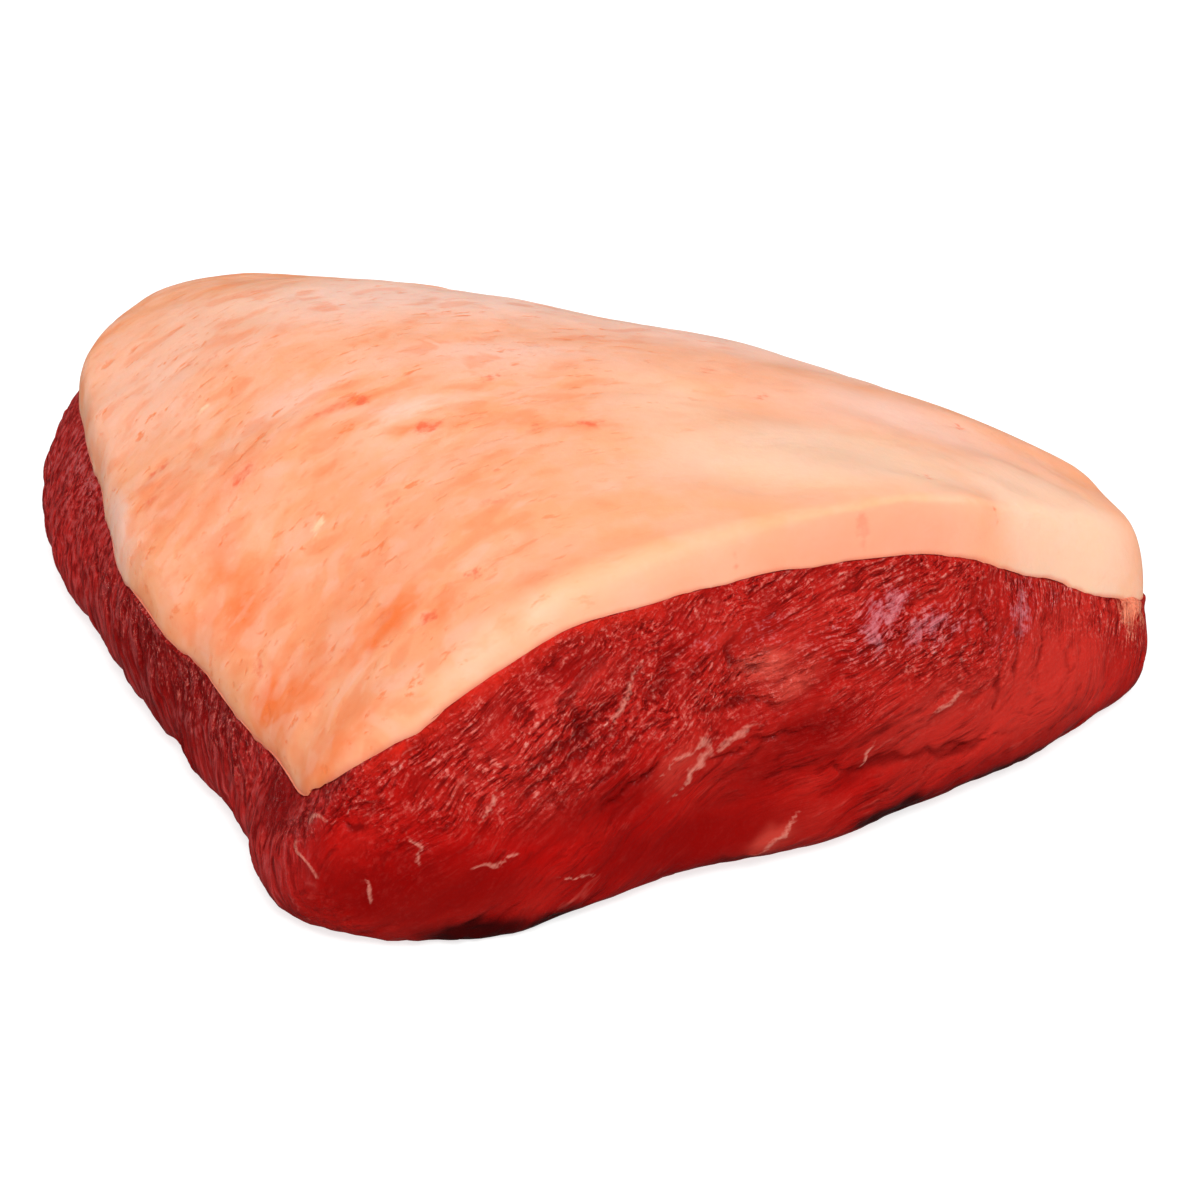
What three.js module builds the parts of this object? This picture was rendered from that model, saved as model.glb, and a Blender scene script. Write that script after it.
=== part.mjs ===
// A raw picanha, the cap of beef rump: a thick rounded wedge of lean meat under a domed cap of fat.
// The piece lies fat side up. +X runs to the narrow tip, -Y faces the tall cut side, and the underside is on
// z = 0. Sizes are in millimetres.
import * as THREE from "three";
import { ImprovedNoise } from "three/addons/math/ImprovedNoise.js";

const CROWN = new THREE.Vector3(-13, 11, 53.5); // top of the lean's dome
const FAT_AT_CROWN = 9; // thickness of the fat there
const DOME_POWER = 2.1; // higher makes the dome steeper at its edge and flatter on top
const LAYER_GAP = 0.4; // between the lean and the fat

// Stations round the edge, anticlockwise seen from above, from the front corner. foot: the widest line of the
// side, seen from above. rim: the lean's upper edge. fat: thickness of the fat's edge. round: its rounding.
const STATIONS = [
  { foot: [-54.5, -66], rim: [-48.7, -61.5, 22], fat: 4.5, round: 5.5 },
  { foot: [-43, -74], rim: [-41, -66.5, 29.3], fat: 4.5, round: 5.5 },
  { foot: [-27.5, -75.5], rim: [-28.5, -67, 39.3], fat: 6, round: 6.5 },
  { foot: [-8.5, -69.5], rim: [-11, -62.5, 49.8], fat: 6.5, round: 6.5 },
  { foot: [14.5, -56.5], rim: [11, -51.5, 53.5], fat: 8, round: 5 },
  { foot: [38.5, -47], rim: [35, -41, 53.6], fat: 8.7, round: 3.5 },
  { foot: [62.5, -31.5], rim: [58, -28.5, 49.3], fat: 10.3, round: 2.5 },
  { foot: [83, -15], rim: [77.5, -11, 36], fat: 12.2, round: 3 },
  { foot: [100.7, 7.5], rim: [101, 13, 18.3], fat: 13.5, round: 5 },
  { foot: [102, 26], rim: [100.5, 29.5, 17.3], fat: 12.5, round: 5.5 },
  { foot: [95.5, 47], rim: [93, 46, 20.5], fat: 10.5, round: 6.5 },
  { foot: [73.5, 70], rim: [70, 66, 24.5], fat: 8.5, round: 6.5 },
  { foot: [40.5, 93], rim: [37, 88.5, 26.2], fat: 8.2, round: 6.5 },
  { foot: [-4.5, 113], rim: [-6.5, 107.5, 28.5], fat: 8.5, round: 6.5 },
  { foot: [-53.5, 129.5], rim: [-52.5, 124, 30.5], fat: 8.5, round: 6.5 },
  { foot: [-94.5, 127], rim: [-94.5, 124, 29.5], fat: 8.5, round: 5.5 },
  { foot: [-116, 98.5], rim: [-108.5, 97, 26.5], fat: 7.5, round: 4.5 },
  { foot: [-115, 73.5], rim: [-105, 72, 26], fat: 6.5, round: 3.5 },
  { foot: [-106, 41.5], rim: [-97, 42.5, 25], fat: 5.5, round: 3.5 },
  { foot: [-94, 16.5], rim: [-89.5, 14.5, 24], fat: 5.5, round: 3.5 },
  { foot: [-83.5, -5.5], rim: [-78.5, -8.5, 23], fat: 5.5, round: 4.5 },
  { foot: [-78.2, -13.5], rim: [-71.5, -16.5, 22.3], fat: 5, round: 4.5 },
  { foot: [-72, -27.5], rim: [-65.5, -29.5, 22], fat: 4.5, round: 4.5 },
  { foot: [-61.5, -47], rim: [-54.6, -48.5, 22], fat: 4.5, round: 5.5 },
];

// The side: rounded at its foot, a little swollen, and leaning in towards the rim
const SOLE_UP = 7.5; // height of the foot above the underside
const SOLE_SHARE = 0.3; // and the most that it is of the rim's height
const SOLE_REACH = 1.1; // how far the rounding goes in, as a share of its height
const BELLY = 0.036; // how far the side swells, as a share of the rim's height
const SHOULDER = 1.5; // higher leans the side in nearer the rim
const RIM_CALM = 6; // higher keeps the side's relief nearer to the rim

// Grain of the lean: bundles of fibres run from the broad end up to the tip
const GRAIN_ALONG = new THREE.Vector3(0.775, 0.5, 0.39).normalize();
const GRAIN_DEEP = new THREE.Vector3(0, 0, 1).cross(GRAIN_ALONG).normalize();
const GRAIN_UP = GRAIN_ALONG.clone().cross(GRAIN_DEEP);
const BUNDLE = { along: 48, up: 14, deep: 8, height: 1.3 };
const STRAND = { along: 28, up: 7, deep: 4, height: 0.65 };
// A shallow seam between two muscles runs low along the cut side, with a small pit in the side above it
const SEAM = { fromX: 5, toX: 88, fade: 22, z: 13, rise: 0.07, width: 3.7, depth: 1.5 };
const PIT = { x: 24, z: 37, radius: 6, depth: 2.5 };

// The rim is wavy, and the top is lumpy with long shallow dents in the fat
const EDGE_WAVE = { length: 16, height: 1.2, outwards: 0.8, fade: 0.25 };
const LUMPS = { length: 32, height: 1.2 };
const FAT_DENTS = { along: 34, across: 15, skew: 0.25, depth: 1.6, floor: 0.05, from: 0.03, full: 0.15 };
const FAT_FULL = 0.6; // share of the way to the crown at which the fat reaches its thickness there

// Faces: columns round the edge, and rings of them. Rings on top and underneath are given by their share of
// the way to the crown, and keep one column in so many. The fat's top is shared out from its rounded edge.
const COLUMNS = 176;
const SOLE_STEPS = 4;
const SIDE_STEPS = 10;
const FAT_WALL_STEPS = 4;
const LAYER_RINGS = [
  { share: 0.1, every: 1 },
  { share: 0.3, every: 2 },
  { share: 0.52, every: 4 },
  { share: 0.76, every: 8 },
];
const FAT_TOP_SHARES = [0.03, 0.06, 0.1, 0.14, 0.19, 0.24, 0.3, 0.37, 0.44, 0.52, 0.61, 0.71, 0.81, 0.91];
const FAT_TOP_EVERY = [
  { from: 0, every: 1 },
  { from: 0.3, every: 2 },
  { from: 0.6, every: 4 },
  { from: 0.8, every: 8 },
];

const perlin = new ImprovedNoise();
const NOISE_START = new THREE.Vector3(31.7, 17.3, 5.9);
const noise = (x, y, z) => perlin.noise(x + NOISE_START.x, y + NOISE_START.y, z + NOISE_START.z);
const { lerp, smoothstep } = THREE.MathUtils;

const closedCurve = (points) => new THREE.CatmullRomCurve3(points, true, "catmullrom", 0.5);
const footCurve = closedCurve(STATIONS.map((s) => new THREE.Vector3(...s.foot, 0)));
const rimCurve = closedCurve(STATIONS.map((s) => new THREE.Vector3(...s.rim)));
const fatCurve = closedCurve(STATIONS.map((s) => new THREE.Vector3(s.fat, s.round, 0)));

// What one column needs: its foot, the way out, its rim, the rim's wave and the fat's edge
function columnAt(turn) {
  const t = footCurve.getUtoTmapping(turn);
  const foot = footCurve.getPoint(t);
  const way = footCurve.getTangent(t);
  const out = new THREE.Vector3(way.y, -way.x, 0).normalize();
  const edge = fatCurve.getPoint(t);
  const [u, v] = [foot.x / EDGE_WAVE.length, foot.y / EDGE_WAVE.length];
  const rim = rimCurve.getPoint(t).addScaledVector(out, EDGE_WAVE.outwards * noise(u, v, 7));
  const wave = EDGE_WAVE.height * noise(u, v, 0);
  rim.z += wave;
  return { foot, out, rim, wave, fat: edge.x, round: edge.y };
}

function grainNoise(p, { along, up, deep, height }) {
  return height * noise(p.dot(GRAIN_ALONG) / along, p.dot(GRAIN_UP) / up, p.dot(GRAIN_DEEP) / deep);
}

const bump = (distance, width) => Math.exp(-((distance / width) ** 2));

// Depth of the seam and the pit, on the cut side only
function hollowDepth(p) {
  if (p.y > 0) return 0;
  const start = smoothstep(p.x, SEAM.fromX, SEAM.fromX + SEAM.fade);
  const end = 1 - smoothstep(p.x, SEAM.toX - SEAM.fade, SEAM.toX);
  const seam = SEAM.depth * start * end * bump(p.z - SEAM.z - SEAM.rise * (p.x - SEAM.fromX), SEAM.width);
  return seam + PIT.depth * bump(p.x - PIT.x, PIT.radius) * bump(p.z - PIT.z, PIT.radius);
}

// A point on the lean's side: rise runs from 0 at the foot to 1 at the rim
function leanSide(c, rise) {
  const foot = c.foot.clone().setZ(Math.min(SOLE_UP, c.rim.z * SOLE_SHARE));
  const p = foot.clone().lerp(c.rim, rise ** SHOULDER);
  p.z = lerp(foot.z, c.rim.z, rise);
  const relief = (grainNoise(p, BUNDLE) + grainNoise(p, STRAND) - hollowDepth(p)) * (1 - rise ** RIM_CALM);
  return p.addScaledVector(c.out, relief + BELLY * c.rim.z * Math.sin(Math.PI * rise));
}

// A point on the rounded edge under the side: turn runs from 0 at the flat underside to 1 at the foot
function leanSole(c, turn) {
  const foot = leanSide(c, 0);
  const angle = (turn * Math.PI) / 2;
  const p = foot.clone().addScaledVector(c.out, -foot.z * SOLE_REACH * (1 - Math.sin(angle)));
  return p.setZ(foot.z * (1 - Math.cos(angle)));
}

// A point on the lean's domed top: share runs from 0 at the rim to 1 at the crown
function leanTop(c, share) {
  const p = c.rim.clone().lerp(CROWN, share);
  const dome = lerp(c.rim.z - c.wave, CROWN.z, 1 - (1 - share) ** DOME_POWER);
  const lump = LUMPS.height * noise(p.x / LUMPS.length, p.y / LUMPS.length, 3);
  return p.setZ(dome + lerp(c.wave, lump, smoothstep(share, 0, EDGE_WAVE.fade)));
}

// The fat's underside and top, by the same shares
const fatUnder = (c, share) => leanTop(c, share).add(new THREE.Vector3(0, 0, LAYER_GAP));

function fatTop(c, share) {
  const p = fatUnder(c, share);
  const across = (p.y + FAT_DENTS.skew * p.x) / FAT_DENTS.across;
  const dent = FAT_DENTS.depth * Math.max(0, noise(p.x / FAT_DENTS.along, across, 11) - FAT_DENTS.floor);
  const thickness = lerp(c.fat, FAT_AT_CROWN, smoothstep(share, 0, FAT_FULL));
  return p.setZ(p.z + thickness - dent * smoothstep(share, FAT_DENTS.from, FAT_DENTS.full));
}

// A point on the fat's rounded edge: turn runs from 0 at the lean to 1 on top
const roundShare = (c) => c.round / Math.hypot(c.rim.x - CROWN.x, c.rim.y - CROWN.y);

function fatWall(c, turn) {
  const share = roundShare(c);
  const angle = (turn * Math.PI) / 2;
  const p = fatUnder(c, share * (1 - Math.cos(angle)));
  const thickness = fatTop(c, share).z - fatUnder(c, share).z;
  return p.setZ(p.z + thickness * Math.sin(angle));
}

// Joins closed rings into one closed body. The first and last are single points, and a ring may have half as
// many points as its neighbour. A body whose rings start at its top has its faces turned round.
function skin(rings, fromTop = false) {
  const starts = [];
  const positions = [];
  for (const ring of rings) {
    starts.push(positions.length / 3);
    for (const p of ring) positions.push(p.x, p.y, p.z);
  }
  const faces = [];
  for (let r = 0; r + 1 < rings.length; r++) {
    const most = Math.max(rings[r].length, rings[r + 1].length);
    const at = (k, i) => starts[k] + (Math.floor((i * rings[k].length) / most) % rings[k].length);
    for (let i = 0; i < most; i++) {
      const [a, b] = [at(r, i), at(r, i + 1)];
      const [c, d] = [at(r + 1, i), at(r + 1, i + 1)];
      if (a !== b) faces.push(a, b, c);
      if (c !== d) faces.push(b, d, c);
    }
  }
  const geometry = new THREE.BufferGeometry();
  geometry.setAttribute("position", new THREE.Float32BufferAttribute(positions, 3));
  geometry.setIndex(fromTop ? faces.reverse() : faces);
  geometry.computeVertexNormals();
  return geometry;
}

const columns = Array.from({ length: COLUMNS }, (_, i) => columnAt(i / COLUMNS));
const ring = (pointAt, every = 1) => columns.filter((_, i) => i % every === 0).map(pointAt);
const steps = (count) => Array.from({ length: count + 1 }, (_, i) => i / count);

function leanGeometry() {
  const centre = CROWN.clone().setZ(0);
  const under = LAYER_RINGS.map(({ share, every }) => ring((c) => leanSole(c, 0).lerp(centre, share), every));
  return skin([
    [centre],
    ...under.reverse(),
    ...steps(SOLE_STEPS).map((turn) => ring((c) => leanSole(c, turn))),
    ...steps(SIDE_STEPS).slice(1).map((rise) => ring((c) => leanSide(c, rise))),
    ...LAYER_RINGS.map(({ share, every }) => ring((c) => leanTop(c, share), every)),
    [leanTop(columns[0], 1)],
  ]);
}

// From the top down, so that the fat's underside is split into the same faces as the lean that it lies on
function fatGeometry() {
  const everyAt = (share) => FAT_TOP_EVERY.findLast(({ from }) => share >= from).every;
  const topAt = (c, share) => fatTop(c, lerp(roundShare(c), 1, share));
  const top = FAT_TOP_SHARES.map((share) => ring((c) => topAt(c, share), everyAt(share)));
  const wall = steps(FAT_WALL_STEPS).map((turn) => ring((c) => fatWall(c, turn)));
  const under = LAYER_RINGS.map(({ share, every }) => ring((c) => fatUnder(c, share), every));
  const crownTop = fatTop(columns[0], 1);
  return skin([[crownTop], ...top.reverse(), ...wall.reverse(), ...under, [fatUnder(columns[0], 1)]], true);
}

function meshOf(name, geometry, color, roughness) {
  const mesh = new THREE.Mesh(geometry, new THREE.MeshStandardMaterial({ color, roughness, metalness: 0 }));
  mesh.name = name;
  return mesh;
}

const picanha = new THREE.Group();
picanha.add(meshOf("lean_meat", leanGeometry(), 0xa3201a, 0.35));
picanha.add(meshOf("fat_cap", fatGeometry(), 0xfcc096, 0.45));

// The origin is under the middle of the piece
const box = new THREE.Box3().setFromObject(picanha);
const middle = box.getCenter(new THREE.Vector3());
picanha.position.set(-middle.x, -middle.y, -box.min.z);

export default picanha;
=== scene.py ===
import math
import bpy
import bmesh
import numpy as np
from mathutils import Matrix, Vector, noise
from mathutils.bvhtree import BVHTree


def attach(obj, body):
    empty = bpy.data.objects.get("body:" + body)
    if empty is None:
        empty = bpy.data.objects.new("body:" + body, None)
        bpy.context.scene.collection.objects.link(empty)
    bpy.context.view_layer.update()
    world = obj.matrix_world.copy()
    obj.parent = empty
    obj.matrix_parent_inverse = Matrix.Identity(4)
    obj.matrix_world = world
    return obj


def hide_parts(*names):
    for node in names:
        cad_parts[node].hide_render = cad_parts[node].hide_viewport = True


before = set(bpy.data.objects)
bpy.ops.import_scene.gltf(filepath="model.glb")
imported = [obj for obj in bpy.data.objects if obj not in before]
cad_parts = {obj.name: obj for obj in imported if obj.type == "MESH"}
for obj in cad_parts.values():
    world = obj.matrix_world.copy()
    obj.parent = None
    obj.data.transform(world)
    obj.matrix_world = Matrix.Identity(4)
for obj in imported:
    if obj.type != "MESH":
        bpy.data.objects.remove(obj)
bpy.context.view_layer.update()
mm = 0.001
print("frame loaded")

# camera, lights and floor
studio = {
    "lens": 85,
    "sensor": 36,
    "nearest": 0.01,
    "distance": 515.2 * mm,
    "elevation": 28,
    "target": (6.86 * mm, -27.71 * mm, 25.76 * mm),
    "lights": {
        "keyLight": {"from": (0.1, -0.6, 0.8), "strength": 1.95, "softness": 20},
        "frontFill": {"from": (0.45, -0.8, 0.32), "strength": 0.5, "softness": 25},
    },
    "skyStrength": 0.64,
    "skyMirrored": 0.12,
    "floorSize": 4,
    "floorRoughness": 0.9,
    "floorColour": (0.42, 0.42, 0.415, 1),
    "floorGlow": 0.72,
}


def pointAt(thing, way):
    thing.rotation_euler = Vector(way).to_track_quat("Z", "Y").to_euler()


def makeSky():
    # an even white sky, dimmer where it is seen mirrored, so that wet meat keeps its colour
    world = bpy.data.worlds.new("studioWorld")
    world.use_nodes = True
    tree = world.node_tree
    sky = tree.nodes["Background"]
    sky.inputs["Color"].default_value = (1, 1, 1, 1)
    rays = tree.nodes.new("ShaderNodeLightPath")
    dim = tree.nodes.new("ShaderNodeMapRange")
    dim.inputs["To Min"].default_value = studio["skyStrength"]
    dim.inputs["To Max"].default_value = studio["skyMirrored"]
    tree.links.new(rays.outputs["Is Glossy Ray"], dim.inputs["Value"])
    tree.links.new(dim.outputs["Result"], sky.inputs["Strength"])
    bpy.context.scene.world = world
    bpy.context.scene.view_settings.view_transform = "Standard"


def makeFloor():
    bm = bmesh.new()
    bmesh.ops.create_grid(bm, x_segments=1, y_segments=1, size=studio["floorSize"])
    mesh = bpy.data.meshes.new("floor")
    bm.to_mesh(mesh)
    bm.free()
    floor = bpy.data.objects.new("floor", mesh)
    bpy.context.collection.objects.link(floor)
    paper = bpy.data.materials.new("floorPaper")
    paper.use_nodes = True
    skin = paper.node_tree.nodes["Principled BSDF"]
    skin.inputs["Base Color"].default_value = studio["floorColour"]
    skin.inputs["Roughness"].default_value = studio["floorRoughness"]
    skin.inputs["Specular IOR Level"].default_value = 0.0
    skin.inputs["Emission Color"].default_value = (1, 1, 1, 1)
    skin.inputs["Emission Strength"].default_value = studio["floorGlow"]
    mesh.materials.append(paper)
    floor.visible_diffuse = False
    floor.visible_glossy = False


def makeStudio():
    tilt = math.radians(studio["elevation"])
    back = Vector((0, -math.cos(tilt), math.sin(tilt)))
    camera = bpy.data.objects.new("camera", bpy.data.cameras.new("camera"))
    camera.data.lens = studio["lens"]
    camera.data.sensor_width = studio["sensor"]
    camera.data.clip_start = studio["nearest"]
    camera.location = Vector(studio["target"]) + studio["distance"] * back
    pointAt(camera, back)
    bpy.context.collection.objects.link(camera)
    bpy.context.scene.camera = camera

    for name, light in studio["lights"].items():
        lamp = bpy.data.objects.new(name, bpy.data.lights.new(name, "SUN"))
        lamp.data.energy = light["strength"]
        lamp.data.angle = math.radians(light["softness"])
        pointAt(lamp, light["from"])
        bpy.context.collection.objects.link(lamp)


makeStudio()
makeSky()
makeFloor()
print("studio ready")


# tools for shaping, all in millimetres
def smoothStep(low, high, x):
    t = np.clip((x - low) / (high - low), 0, 1)
    return t * t * (3 - 2 * t)


def turnedTo(amount):
    # rises from 0 to 1 as a side turns to face a direction
    return smoothStep(0.15, 0.45, amount)


def fibreFrame(along):
    # the way along the fibres, and the two ways across them
    along = Vector(along).normalized()
    deep = Vector((0, 0, 1)).cross(along).normalized()
    return np.array([along, along.cross(deep), deep])


def fibreNoise(points, along, length, width, seed):
    # noise that is long along the fibres and narrow across them
    laid = points @ fibreFrame(along).T / (length, width, width)
    return np.array([noise.noise(Vector(q)) for q in laid + seed])


def plainNoise(points, size, seed):
    return np.array([noise.noise(Vector(q)) for q in points / size + seed])


# how a drawn line thins and weakens to its ends
stroke = {"endWidth": 0.4, "leastWidth": 0.55, "endStrength": 0.35, "fullness": 0.6}


def nearLine(flat, line, width):
    # near 1 on a drawn line, falling to 0 beside it
    line = np.array(line, float)
    steps = np.diff(line, axis=0)
    lengths = np.linalg.norm(steps, axis=1)
    best = np.zeros(len(flat))
    for number, (start, step, length) in enumerate(zip(line, steps, lengths)):
        share = np.clip((flat - start) @ step / length ** 2, 0, 1)
        along = (lengths[:number].sum() + share * length) / lengths.sum()
        body = np.sin(np.pi * along)
        thick = width * (stroke["endWidth"] + (1 - stroke["endWidth"]) * body)
        thick = np.maximum(thick, stroke["leastWidth"])
        strength = stroke["endStrength"] + (1 - stroke["endStrength"]) * body ** stroke["fullness"]
        away = np.linalg.norm(flat - start - share[:, None] * step, axis=1)
        best = np.maximum(best, strength * np.exp(-((away / thick) ** 2)))
    return best


def drawn(flat, strokes):
    # several lines, each as its width and its points
    best = np.zeros(len(flat))
    for width, line in strokes:
        best = np.maximum(best, nearLine(flat, line, width))
    return best


def patches(flat, spots):
    # soft ovals, each as its middle, its two half widths, its turn in degrees and its strength
    total = np.zeros(len(flat))
    for x, y, wide, high, turn, strength in spots:
        turn = math.radians(turn)
        along = (flat[:, 0] - x) * math.cos(turn) + (flat[:, 1] - y) * math.sin(turn)
        across = (flat[:, 1] - y) * math.cos(turn) - (flat[:, 0] - x) * math.sin(turn)
        total = np.maximum(total, strength * np.exp(-((along / wide) ** 2) - (across / high) ** 2))
    return total


def ball(places, spot):
    # a soft ball, as its middle, its reach and its strength
    middle, reach, strength = spot
    return strength * np.exp(-((np.linalg.norm(places - np.array(middle), axis=1) / reach) ** 2))


def wandered(places, waves):
    # shifts the places about, so that what is drawn on them wavers; waves are size, reach and seed
    for size, reach, seed in waves:
        shift = [plainNoise(places, size, seed + 5 * axis) for axis in range(3)]
        places = places + np.stack(shift, axis=1) * reach
    return places


def placesOf(mesh):
    flat = np.empty(len(mesh.vertices) * 3)
    mesh.vertices.foreach_get("co", flat)
    return flat.reshape(-1, 3) / mm


def normalsOf(mesh):
    flat = np.empty(len(mesh.vertices) * 3)
    mesh.vertices.foreach_get("normal", flat)
    return flat.reshape(-1, 3)


def setPlaces(mesh, places):
    mesh.vertices.foreach_set("co", (places * mm).ravel())
    mesh.update()


def keep(mesh, name, values):
    layer = mesh.attributes.new(name, "FLOAT", "POINT")
    layer.data.foreach_set("value", np.asarray(values, dtype=np.float32))


def gapTo(piece, places):
    # how far each place is from another piece
    bm = bmesh.new()
    bm.from_mesh(piece.data)
    tree = BVHTree.FromBMesh(bm)
    bm.free()
    return np.array([tree.find_nearest(Vector(p))[3] for p in places * mm]) / mm


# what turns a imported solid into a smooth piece
smoothing = {"weld": 0.01 * mm, "pairing": 1.2, "rimAngle": 0.9, "flatOn": 0.6, "softening": 0.5}


def isCorner(edge, making):
    # where a side that shows meets the face that lies on the other piece
    facing = [f.normal.z * making["hiddenSide"] for f in edge.link_faces]
    return edge.calc_face_angle(0) > making["cornerAngle"] and max(facing) > smoothing["flatOn"]


def roundOff(name, bm, making):
    # one level of subdivision that keeps the corners
    keen = bm.edges.layers.float.new("crease_edge")
    for edge in bm.edges:
        edge[keen] = 1.0 if isCorner(edge, making) else 0.0
    mesh = bpy.data.meshes.new(name)
    bm.to_mesh(mesh)
    bm.free()
    piece = bpy.data.objects.new(name, mesh)
    bpy.context.collection.objects.link(piece)
    rounding = piece.modifiers.new("rounding", "SUBSURF")
    rounding.levels = rounding.render_levels = 1
    bpy.context.view_layer.objects.active = piece
    bpy.ops.object.modifier_apply(modifier="rounding")
    return piece


def refine(mesh, making):
    # finer faces where relief goes, and a little softening away from the sharp edges
    bm = bmesh.new()
    bm.from_mesh(mesh)
    faces = [f for f in bm.faces if making["lowest"] < f.normal.z < making["highest"]]
    edges = list({e for f in faces for e in f.edges})
    bmesh.ops.subdivide_edges(bm, edges=edges, cuts=making["cuts"], use_grid_fill=True)
    bmesh.ops.triangulate(bm, faces=[f for f in bm.faces if len(f.verts) > 4])
    sharp = [e for e in bm.edges if isCorner(e, making) or e.calc_face_angle(0) > smoothing["rimAngle"]]
    hard = {v for e in sharp for v in e.verts}
    soft = [v for v in bm.verts if v not in hard]
    given = {"factor": smoothing["softening"], "use_axis_x": True, "use_axis_y": True, "use_axis_z": True}
    bmesh.ops.smooth_vert(bm, verts=soft, **given)
    bm.to_mesh(mesh)
    bm.free()
    for face in mesh.polygons:
        face.use_smooth = True


def smoothCopy(name, node, making):
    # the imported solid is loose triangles: weld it, pair them into quads, and round it off
    turn = smoothing["pairing"]
    bm = bmesh.new()
    bm.from_mesh(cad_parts[node].data)
    bmesh.ops.remove_doubles(bm, verts=bm.verts[:], dist=smoothing["weld"])
    bmesh.ops.join_triangles(bm, faces=bm.faces[:], angle_face_threshold=turn, angle_shape_threshold=turn)
    bmesh.ops.recalc_face_normals(bm, faces=bm.faces[:])
    piece = roundOff(name, bm, making)
    refine(piece.data, making)
    print(name, len(piece.data.vertices), "vertices")
    return piece


def fillIn(mesh, spots):
    # raises shallow dips in the top
    places = placesOf(mesh)
    facing = turnedTo(normalsOf(mesh)[:, 2])
    for spot in spots:
        places[:, 2] += facing * patches(places[:, :2], [spot])
    setPlaces(mesh, places)


def hardenRim(mesh):
    # the rim's two sides are shaded apart
    bm = bmesh.new()
    bm.from_mesh(mesh)
    for edge in bm.edges:
        edge.smooth = edge.calc_face_angle(0) < smoothing["rimAngle"]
    bm.to_mesh(mesh)
    bm.free()


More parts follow.
